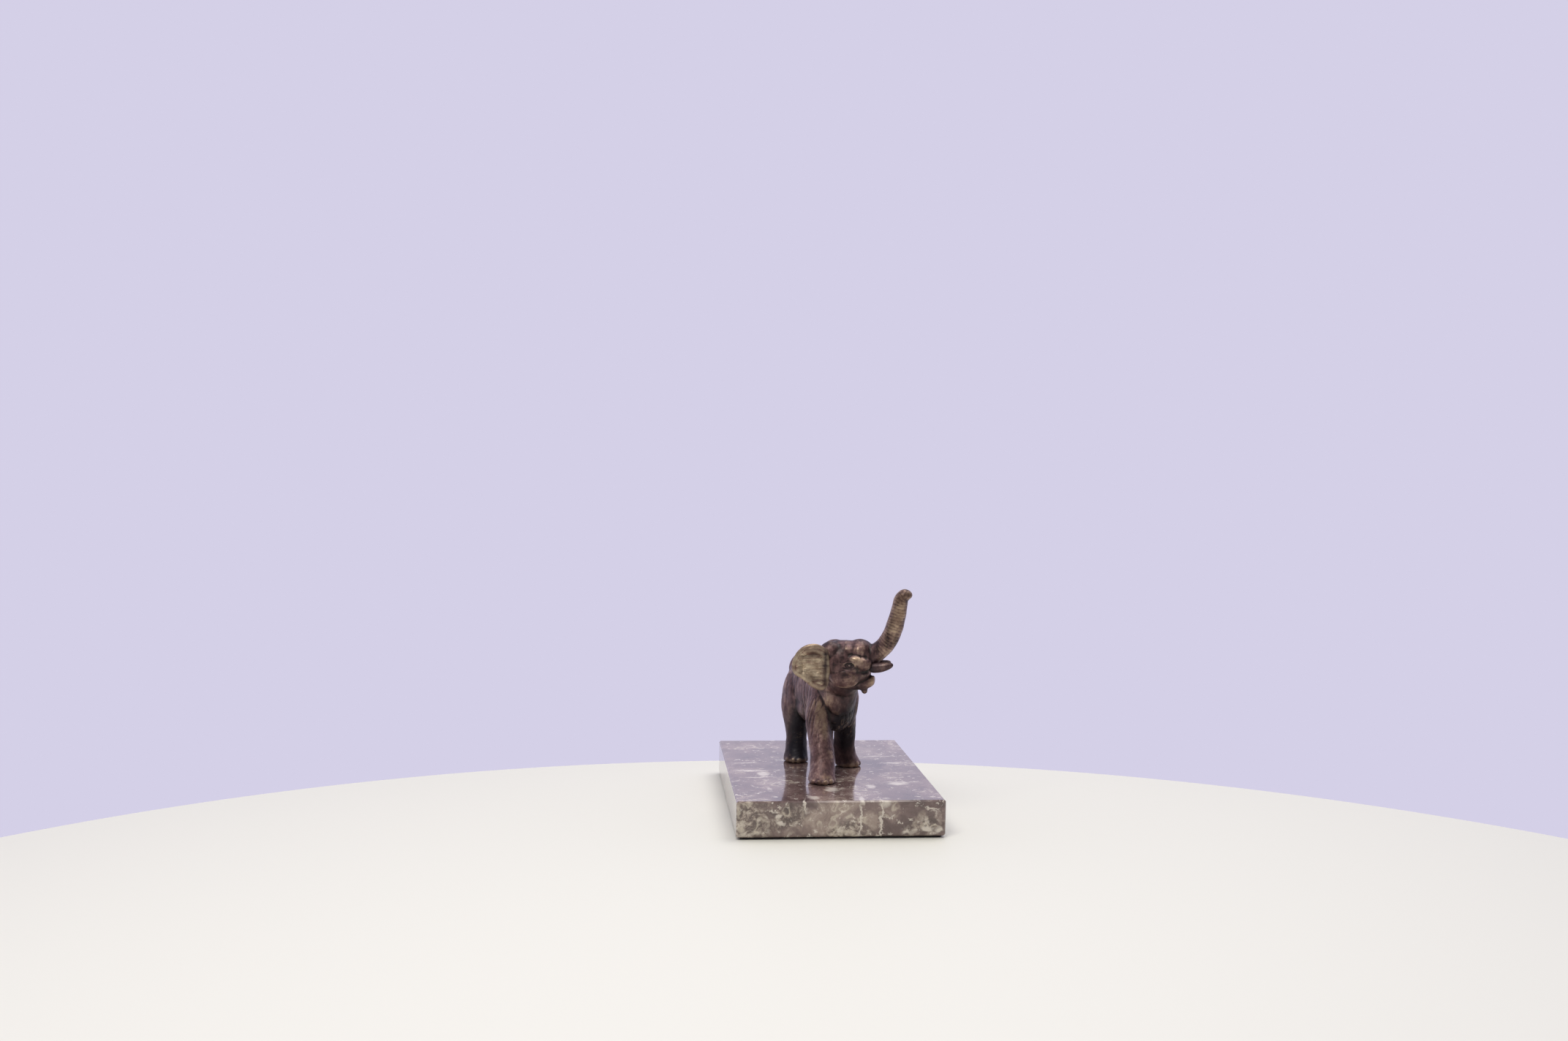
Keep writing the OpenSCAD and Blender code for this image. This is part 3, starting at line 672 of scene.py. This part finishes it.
# A low bead round the coin slot in the back. The soles are then cut off flat.
bead_x, bead_y, slot_middle, above_back = 1.9, 16.2, 10, 58
x, y, z = clay.points.T
from_slot = np.hypot(np.maximum(np.abs(x) - bead_x, 0), np.maximum(np.abs(y - slot_middle) - bead_y, 0))
clay.push(0.4 * bell(from_slot, 1.0, 0.75) * (z > above_back))
clay.points[:, 2] = np.maximum(clay.points[:, 2], 0)
clay.write()

# What the finish follows: high is how far the skin stands out, rub is where hands have worn it, and the third
# is painted shade, laid where the figure's own shadow falls.
small, large = clay.proud(5), clay.proud(40)
clay.keep("high", 0.5 + small * 4 + large * 0.35)
p = clay.points
h = clay.seen_from(skull_frame)
rub = 0.16 * of_trunk
rub += marked(h, [(0.6, (-8.5, -6, 4.8), (2.6, 3, 1.8)), (0.05, (0, -6, 14), (8, 8, 3)),
                  (0.5, (-4, -27, 31), (4, 4, 7)), (0.15, (-4, -24, 22), (4, 4, 7)),
                  (0.7, (-2.5, -14, -7.5), (2.5, 2.5, 3)), (0.1, (0, 8, 13), (8, 8, 3)),
                  (-0.35, (0, -5, 13), (10, 10, 5)), (0.25, (-10, -1, -5), (4, 5, 5))])
rub += marked(p, [(0.6, (-6.6, -32, 15), (2.4, 6, 3.6)), (0.45, (-9, -27, 27), (2, 8, 5)),
                  (0.55, (-12, -41, 3.4), (4, 4, 3)), (0.35, (15, -2.5, 3), (6, 4, 3)),
                  (0.6, (-12, -24, 40), (5, 7, 9))])
clay.keep("rub", rub)
# Painted shade: darker on the chest, inside the legs, round the right hind foot and low on the belly, where
# the body's own shadow falls.
dim = marked(p, [(1.3, (4, -23, 33), (8, 10, 16)), (1, (-2, -15, 24), (4.5, 12, 14)),
                 (1.2, (10, -7, 20), (8, 11, 16)), (0.9, (-12, 17, 5), (9, 9, 7)),
                 (1, (-8, 17, 20), (8, 7, 15)), (0.55, (-14, 21, 20), (5, 7, 14)),
                 (0.8, (11, 36, 20), (8, 9, 18)), (0.6, (-13, 2, 29), (6, 12, 7))])
# More painted shade under the jaw, at the mouth, round the eye and in the cheek.
dim += marked(h, [(0.8, (0, -3, -14), (9, 9, 4)), (0.5, (0, -14, 2), (7, 3, 3))])
dim += marked(one_side(h), [(1, (6.3, -12.4, -2.8), (2.6, 2.4, 2.2)), (0.7, (10, -2.4, 0.4), (3, 4, 2.2)),
                            (0.5, (8, -9, -4), (4, 5, 4))])
clay.keep("dim", dim)

# Brown bronzing over iron: blotched and streaked, darker in its hollows, and rubbed to brass where it
# is high and handled.
# Painted shade also darkens it where the figure's own shadow falls.
bronze, put, shader, tree = graph("bronzed_iron")
where = put("ShaderNodeTexCoord").outputs["Object"]
high = stored(put, "high")
rubbed = stored(put, "rub")
blotch = noise(put, where, 130, 7, 0.65)
grain = noise(put, where, 1400, 5, 0.7)
streak = noise(put, put("ShaderNodeMapping", Vector=where, Scale=(420, 420, 90)).outputs[0], 1.0, 5, 0.6)
mottle = put("ShaderNodeMix", i0=0.36, i2=blotch, i3=streak).outputs[0]
# The mottle runs darker towards the top of the figure, over the head and trunk.
crown_z = put("ShaderNodeSeparateXYZ", Vector=where).outputs["Z"]
toward_top = put("ShaderNodeMapRange", i0=crown_z, i1=0.083, i2=0.098, i3=0.0, i4=0.085).outputs[0]
mottle = sums(put, "SUBTRACT", mottle, toward_top)
dark = ramp(put, mottle, [(0.36, (0.034, 0.016, 0.017)), (0.5, (0.150, 0.080, 0.078)),
                          (0.62, (0.33, 0.215, 0.185))])
grime = ramp(put, high, [(0.22, 0.2), (0.5, 1.0)])
# Painted shade: where the skin holds it, the colour is pulled to a dark bluish brown.
shade = stored(put, "dim")
shade_and_tone_colour = (0.012, 0.010, 0.016)
shaded = mix(put, shade, dark, shade_and_tone_colour)
toned = mix(put, 1.0, shaded, grime, "MULTIPLY")
edge = ramp(put, high, [(0.58, 0.0), (0.85, 1.0)])
rub_more = sums(put, "MULTIPLY", rubbed, ramp(put, high, [(0.34, 0.15), (0.6, 1.0)]))
worn = put("ShaderNodeMath", {"operation": "MULTIPLY_ADD", "use_clamp": True}, i0=edge, i1=0.28,
           i2=rub_more).outputs[0]
speckled = put("ShaderNodeMath", {"operation": "MULTIPLY_ADD", "use_clamp": True},
               i0=sums(put, "SUBTRACT", blotch, 0.5), i1=0.9, i2=worn).outputs[0]
shine = ramp(put, speckled, [(0.12, 0.0), (0.75, 1.0)])
brass = ramp(put, blotch, [(0.35, (0.26, 0.155, 0.105)), (0.65, (0.52, 0.385, 0.26))])
tree.links.new(mix(put, shine, toned, brass), shader.inputs["Base Color"])
shader.inputs["Metallic"].default_value = 0.55
rough = ramp(put, mix(put, 0.5, shine, mottle), [(0.2, 0.54), (0.6, 0.36)])
tree.links.new(rough, shader.inputs["Roughness"])
shader.inputs["Coat Weight"].default_value = 0.15
shader.inputs["Coat Roughness"].default_value = 0.25
bump = put("ShaderNodeBump", Height=grain, Strength=0.25, Distance=0.00008)
tree.links.new(bump.outputs["Normal"], shader.inputs["Normal"])

# The parted castings take their wear and painted shade from the nearest point of this whole skin.
memory = KDTree(len(clay.points))
for place, point in enumerate(clay.points):
    memory.insert(point, place)
memory.balance()
wear_and_shade_by_name = {name: np.empty(len(clay.points), np.float32) for name in ("high", "rub", "dim")}
for name, values in wear_and_shade_by_name.items():
    animal.data.attributes[name].data.foreach_get("value", values)


def brick(low, high, soft=0.0, place=Matrix()):
    """A solid block between two corners, with its long edges eased."""
    bm = bmesh.new()
    bmesh.ops.create_cube(bm, size=1)
    bmesh.ops.scale(bm, vec=[b - a for a, b in zip(low, high)], verts=bm.verts)
    bmesh.ops.translate(bm, vec=[(a + b) / 2 for a, b in zip(low, high)], verts=bm.verts)
    if soft:
        bmesh.ops.bevel(bm, geom=bm.edges, offset=soft, affect="EDGES", segments=3, profile=0.5,
                        material=-1)
    bmesh.ops.transform(bm, matrix=place, verts=bm.verts)
    return made("brick", bm)


def rod(middle, radius, length, axis="X", segments=40):
    """A solid cylinder across the animal, along X, or upright, along Z."""
    bm = bmesh.new()
    bmesh.ops.create_cone(bm, cap_ends=True, segments=segments, radius1=radius, radius2=radius,
                          depth=length)
    turned = {"X": Matrix.Rotation(math.pi / 2, 4, "Y"), "Z": Matrix()}
    bmesh.ops.transform(bm, matrix=Matrix.Translation(middle) @ turned[axis], verts=bm.verts)
    return made("rod", bm)


def carve(obj, tools, how="DIFFERENCE"):
    """Cuts the tools out of the object, or joins them to it, and uses them up."""
    for tool in tools:
        applied(tool)
        cut = obj.modifiers.new("cut", "BOOLEAN")
        cut.operation = how
        cut.solver = "MANIFOLD"
        cut.object = tool
        applied(obj)
        bpy.data.meshes.remove(tool.data)
    return obj


def copied(obj, name):
    """A second object with a mesh of its own."""
    twin = bpy.data.objects.new(name, obj.data.copy())
    scene.collection.objects.link(twin)
    return twin


def bronzed(obj, *nodes):
    """Gives a parted casting its wear and painted shade, its finish and its place, and hands it to the frame.
    """
    clay = Clay(obj)
    nearest = np.fromiter((memory.find(point)[1] for point in clay.points), int, len(clay.points))
    for name, values in wear_and_shade_by_name.items():
        if name in obj.data.attributes:
            obj.data.attributes.remove(obj.data.attributes[name])
        clay.keep(name, values[nearest])
    obj.data.transform(stand)
    obj.data.set_sharp_from_angle(angle=math.radians(50))
    obj.data.materials.clear()
    obj.data.materials.append(bronze)
    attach(obj, "casting")
    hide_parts(*nodes)


# Casting, right and left halves
# The hollow body is cast in iron in two halves, each with two legs, that meet on the animal's middle
# plane. It is chased, bronzed dark brown and waxed, and the high places are rubbed to a brass colour.
trap_rear, trap_front, belly, pin_z = 33.37, 5.37, 23.06, 24.76
wall = 3.2
beyond = 90
hollow = loft([(0, y, z, a - wall, b - wall, back) for y, z, a, b in trunk_of_body[1:-1]], 24)
applied(hollow)

# Solid inside the hollow: the bosses of the seam screws, the trap's frame, and the block for the neck.
seam_places = [(-13.78, 46.55), (41.16, 42.56)]
boss_radius = 5
bosses = [rod((0, y, z), boss_radius, 60) for y, z in seam_places]
bosses.append(brick((-5.6, trap_front - 2.4, belly - 1), (5.6, trap_rear + 3.8, belly + 5)))
bosses.append(brick((-7.5, -31, 49), (7.5, -17.5, 66)))
carve(hollow, bosses)

# The head is parted from the body on a plane across the neck.
neck_middle = (0, -26, 57)
to_head = Vector((0.05, -0.84, 0.54)).normalized()
parting = Matrix.Translation(neck_middle) @ to_head.to_track_quat("Z", "Y").to_matrix().to_4x4()
body = copied(animal, "body")
carve(body, [brick((-beyond, -beyond, 0), (beyond, beyond, 120), 0, parting), hollow])

# Cut through the body: the coin slot, the trap's opening and its hinge, the holes for the seam screws
# with their counterbores, the neck's socket, and the blind holes in the feet.
slot_half, slot_front, slot_rear, slot_ease = 1.75, -6, 26, 0.5
cuts = [brick((-slot_half, slot_front, 50), (slot_half, slot_rear, 80), slot_ease)]
door_half, door_top, opening_half, knuckle_radius, below = 3.55, 25.26, 2.2, 2.25, 8
cuts.append(brick((-door_half, trap_front - 0.35, below), (door_half, trap_rear, door_top)))
cuts.append(brick((-opening_half, trap_front + 1, below), (opening_half, trap_rear - 3.8, 31)))
cuts.append(rod((0, trap_rear, pin_z), knuckle_radius, 2 * door_half))
cuts.append(brick((-door_half, trap_rear - 1, below), (door_half, trap_rear + knuckle_radius, pin_z)))
screw_radius, counterbore_radius = 2.25, 3.75
for y, z in seam_places:
    cuts.append(rod((0, y, z), screw_radius, 24))
    cuts.append(rod((24, y, z), counterbore_radius, 30))
peg = ((-4, -34, 53.2), (4, -23, 61.2))
collar = ((-5.5, -24.5, 51.7), (5.5, -21.5, 62.7))
cuts.append(brick(*peg))
cuts.append(brick(*collar))
foot_places = [(-12.2, -32.6), (13.7, 2.8), (-11.5, 21.8), (11.2, 41.1)]
for x, y in foot_places:
    cuts.append(rod((x, y, 0), 2, 15, "Z"))
carve(body, cuts)

# The two halves stop short of the seam, by the same hair's breadth.
seam_gap = 0.02
for name, edge in (("body_right_half", -beyond - seam_gap), ("body_left_half", seam_gap)):
    half = copied(body, "casting_" + name.split("_")[1])
    carve(half, [brick((edge, -beyond, -10), (edge + beyond, beyond, 130))], "INTERSECT")
    bronzed(half, name)
bpy.data.objects.remove(body)


# Seam screws, nuts and dowels, foot screws and washers
# Plain bright steel screws with a driver slot. Two draw the halves together from the left flank, and
# four hold the feet to the stone from below. The nuts, dowels, washers and trap pin are of like steel.
steel, put, shader, tree = graph("screw_steel")
where = put("ShaderNodeTexCoord").outputs["Object"]
scratch = noise(put, where, 2600, 4, 0.6)
tree.links.new(ramp(put, scratch, [(0.3, (0.42, 0.41, 0.40)), (0.7, (0.62, 0.61, 0.60))]),
               shader.inputs["Base Color"])
shader.inputs["Metallic"].default_value = 1.0
tree.links.new(ramp(put, scratch, [(0.3, 0.25), (0.7, 0.42)]), shader.inputs["Roughness"])
for name in ("seam_screws", "seam_nuts", "seam_dowels", "foot_screws", "foot_washers", "trap_pin"):
    finish_node(name, steel)


# Head
# The head, its jaw and its raised trunk are one solid casting. A square peg with a collar behind it is
# caught between the halves, and it is bronzed with them.
head = copied(animal, "casting_head")
peg_end = -23.5
carve(head, [brick((-beyond, -beyond, seam_gap), (beyond, beyond, 120), 0, parting)], "INTERSECT")
carve(head, [brick(peg[0], (peg[1][0], peg_end, peg[1][2])), brick(*collar)], "UNION")
bronzed(head, "head")
bpy.data.objects.remove(animal)


# Ears
# Thin cast leaves, pinned into the sides of the skull. The right one is spread, hollow to the front
# and rubbed to brass. Its rim is rolled and its face is wrinkled.
ear_edge = [(0.2, 8.4), (3, 10.6), (6.5, 11.7), (10.5, 11.2), (14.4, 8.8), (17, 5), (18.3, 0.4),
            (17.8, -3.2), (15, -5.2), (12.6, -6.4), (9.8, -8.6), (5.5, -11.8), (2, -13.2), (0.2, -12.4),
            (-0.6, -6), (-0.8, 1), (-0.4, 5.6)]
ear_brass, put, shader, tree = graph("rubbed_brass")
where = put("ShaderNodeTexCoord").outputs["Object"]
high = stored(put, "high")
rubbed = stored(put, "rub")
blotch = noise(put, where, 220, 7, 0.65)
pale = ramp(put, blotch, [(0.34, (0.27, 0.185, 0.12)), (0.64, (0.64, 0.53, 0.38))])
deep = ramp(put, blotch, [(0.34, (0.09, 0.045, 0.035)), (0.64, (0.30, 0.185, 0.14))])
level_in = put("ShaderNodeMath", {"operation": "MULTIPLY_ADD", "use_clamp": True},
               i0=sums(put, "SUBTRACT", high, 0.5), i1=1.0, i2=rubbed).outputs[0]
share = ramp(put, level_in, [(0.18, 0.0), (0.85, 1.0)])
# Painted shade at the ear's root, with random darker bands, pulls the colour to dark brown.
shade = stored(put, "dim")
shade_and_tone_colour = (0.035, 0.02, 0.02)
tree.links.new(mix(put, shade, mix(put, share, deep, pale), shade_and_tone_colour), shader.inputs["Base Color"])
shader.inputs["Metallic"].default_value = 0.45
shader.inputs["Roughness"].default_value = 0.42
grain = noise(put, where, 1400, 5, 0.7)
bump = put("ShaderNodeBump", Height=grain, Strength=0.25, Distance=0.00008)
tree.links.new(bump.outputs["Normal"], shader.inputs["Normal"])


def ear_leaf(name, side, root, flare, drop, tall):
    """An ear: its length runs back from the root, and its hollow face looks forward and out.

    It turns out by flare, in degrees, hangs by drop below the skull's middle, and is scaled in height by tall.
    """
    middle = Vector((7.6, -0.6))
    long = 0.94
    edge = [Vector(e) - middle for e in ear_edge]
    edge_turn = np.array([math.atan2(e.y, e.x) for e in edge])
    edge_r = np.array([e.length for e in edge])
    order = np.argsort(edge_turn)
    bm = bmesh.new()
    bmesh.ops.create_circle(bm, cap_ends=True, cap_tris=True, segments=120, radius=1)
    spokes = [e for e in bm.edges if not e.is_boundary]
    bmesh.ops.subdivide_edges(bm, edges=spokes, cuts=34, use_grid_fill=True)
    at = np.array([v.co for v in bm.verts])
    r = np.minimum(1, np.hypot(at[:, 0], at[:, 1]))
    angle = np.arctan2(at[:, 1], at[:, 0])
    soft = sum(np.interp(angle + d, edge_turn[order], edge_r[order], period=2 * math.pi)
               for d in (-0.12, -0.06, 0, 0.06, 0.12)) / 5
    a = long * (middle.x + r * soft * np.cos(angle))
    rise = tall * (middle.y + r * soft * np.sin(angle))
    flat = np.stack([a, rise, np.zeros_like(a)], 1)
    hollow_in = -1.7 * (1 - r ** 2)
    r_wavy = r + 0.02 * bumps(flat, (3, 3, 3), 17)
    rim = 0.15 * bell(r_wavy, 0.95, 0.04) * np.clip(a / 2, 0, 1) - 0.4 * np.clip((r - 0.97) / 0.03, 0, 1)
    at_top = bell(angle, 1.7, 0.9)
    rim += 0.8 * bell(r_wavy, 0.82, 0.09) * at_top - 0.5 * bell(r_wavy, 0.66, 0.08) * at_top
    lobe = 1.0 * near(flat, (15, -1.4, 0), (1.6, 3.4, 9)) - 0.8 * near(flat, (12.9, -1.4, 0), (1.1, 3.2, 9))
    inside = np.clip((0.95 - r) / 0.12, 0, 1)
    lines = 0.34 * (ridged(flat, (8, 1.25, 5), 9) - 0.6) + 0.12 * (ridged(flat, (4, 0.8, 5), 10) - 0.6)
    bow = 1.3 * np.sin(np.clip(a / 18, 0, 1) * math.pi)
    out = hollow_in + rim + lobe + lines * inside + bow
    for v, place in zip(bm.verts, np.stack([a, out, rise], 1)):
        v.co = place
    obj = made(name, bm)
    thick = obj.modifiers.new("thick", "SOLIDIFY")
    thick.thickness = 1.4
    thick.offset = -1
    soft_edge = obj.modifiers.new("soft_edge", "BEVEL")
    soft_edge.width = 0.4
    soft_edge.segments = 3
    soft_edge.angle_limit = math.radians(50)
    applied(obj)
    clay = Clay(obj)
    clay.keep("high", 0.5 + clay.proud(3) * 4)
    q = clay.points
    to_rim = np.clip(np.abs(q[:, 2] / tall - middle.y) / 11.8, 0, 1) ** 6
    worn = 0.15 + 0.6 * near(q, (9, 0, -2), (6, 30, 8)) - 0.4 * near(q, (6.5, 0, 9), (8, 30, 2.4))
    worn += 0.25 * near(q, (3, 0, -5), (2, 30, 6))
    clay.keep("rub", worn - 0.6 * to_rim + 0.45 * bumps(q, (3.4, 3, 1.8), 15))
    # Painted shade in the crease along the ear's root, and random darker bands, stronger on the front part of
    # the leaf.
    dim = 0.9 * near(q, (0.2, 0, 0), (1.5, 30, 12)) + 0.5 * np.clip(bumps(q, (6, 6, 1.6), 16), 0, 1)
    clay.keep("dim", dim * (0.4 + 0.6 * (q[:, 0] < 13)))
    leaf_frame = Matrix(((0, side, 0, 0), (1, 0, 0, 0), (0, 0, 1, 0), (0, 0, 0, 1)))
    place = (stand @ skull_frame @ Matrix.Translation((side * root[0], root[1], -drop))
             @ Matrix.Rotation(math.radians(-side * flare), 4, "Z") @ leaf_frame)
    obj.data.transform(place)
    bm = bmesh.new()
    bm.from_mesh(obj.data)
    bmesh.ops.recalc_face_normals(bm, faces=bm.faces)
    bm.to_mesh(obj.data)
    bm.free()
    obj.data.shade_smooth()
    obj.data.materials.append(ear_brass)
    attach(obj, "casting")
    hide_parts(name)


ear_leaf("right_ear", -1, root=(10.4, 11.2), flare=16, drop=0, tall=0.95)
ear_leaf("left_ear", 1, root=(9.5, 3.2), flare=106, drop=3.0, tall=0.82)


# Tusks
# Short blunt tusks, cast apart and pinned into their sheaths in the cheeks.
fine_grain, fine_passes = 0.25, 6
tusk_line = [(0, 0, -0.4, 2.6), (0, -3, -0.3, 2.9), (0, -6, 0.1, 2.9), (0, -9, 0.7, 2.5),
             (0, -11.6, 1.4, 1.9), (0, -13, 1.9, 1.1), (0, -13.5, 2.1, 0.4)]
for name, side, short in (("right_tusk", -1, 1.0), ("left_tusk", 1, 0.8)):
    place = skull_frame @ Matrix.Translation((side * 3.9, -11.2, -0.4)) @ Matrix.Rotation(side * 0.03, 4, "Z")
    line = [(x, y * short, z, r) for x, y, z, r in tusk_line]
    tusk = melted(name, [sweep(line, 20, place)], fine_grain)
    clay = Clay(tusk)
    clay.smooth(fine_passes)
    clay.push(0.05 * bumps(clay.points, 2, 12))
    clay.keep("high", np.full(len(clay.points), 0.5))
    clay.keep("rub", 0.25 * near(clay.seen_from(place), (0, -11, 3), (3, 4, 3)))
    # The tusk is darker all over, with more painted shade at its root in the sheath.
    clay.keep("dim", 0.45 + 0.3 * near(clay.seen_from(place), (0, 0, -1), (4, 6, 4)))
    tusk.data.transform(stand)
    tusk.data.shade_smooth()
    tusk.data.materials.append(bronze)
    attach(tusk, "casting")
    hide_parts(name)


# Tail
# A thin cast tail with a tuft, which hangs close to the rump. Its peg is caught in the seam.
tail_line = [(0, 48, 46.2, 1.7), (0, 50.4, 46.9, 1.8), (0, 53, 46.2, 1.7), (0, 54.6, 42.6, 1.5),
             (0, 55.1, 36, 1.3), (0, 55, 28, 1.15), (0, 54.9, 23.6, 1.3), (0, 55, 21, 1.8),
             (0, 55.2, 18.6, 1.5), (0, 55.4, 16.6, 0.5)]
tail = melted("tail", [sweep(tail_line, 16)], fine_grain)
clay = Clay(tail)
clay.smooth(fine_passes)
tuft = np.clip((24 - clay.points[:, 2]) / 3, 0, 1)
clay.push(0.22 * tuft * (ridged(clay.points, (0.8, 0.8, 5), 13) - 0.6))
clay.push(0.07 * (1 - tuft) * (ridged(clay.points, (4, 4, 0.9), 14) - 0.6))
clay.keep("high", 0.5 + clay.proud(4) * 4)
clay.keep("rub", 0.3 * tuft)
clay.keep("dim", 0 * tuft)
tail.data.transform(stand)
tail.data.shade_smooth()
tail.data.materials.append(bronze)
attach(tail, "casting")
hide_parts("tail")


# Trap door and its spring clip
# A narrow plate of sheet brass on a steel pin closes the belly. A sprung brass clip inside pinches its
# tongue, and the plate is drawn down by its lip to let the coins out.
sheet, put, shader, tree = graph("sheet_brass")
where = put("ShaderNodeTexCoord").outputs["Object"]
tarnish = noise(put, where, 320, 6, 0.6)
tree.links.new(ramp(put, tarnish, [(0.35, (0.17, 0.105, 0.05)), (0.65, (0.42, 0.30, 0.14))]),
               shader.inputs["Base Color"])
shader.inputs["Metallic"].default_value = 0.9
tree.links.new(ramp(put, tarnish, [(0.35, 0.5), (0.65, 0.3)]), shader.inputs["Roughness"])
finish_node("trap_door", sheet)
finish_node("trap_clip", sheet)
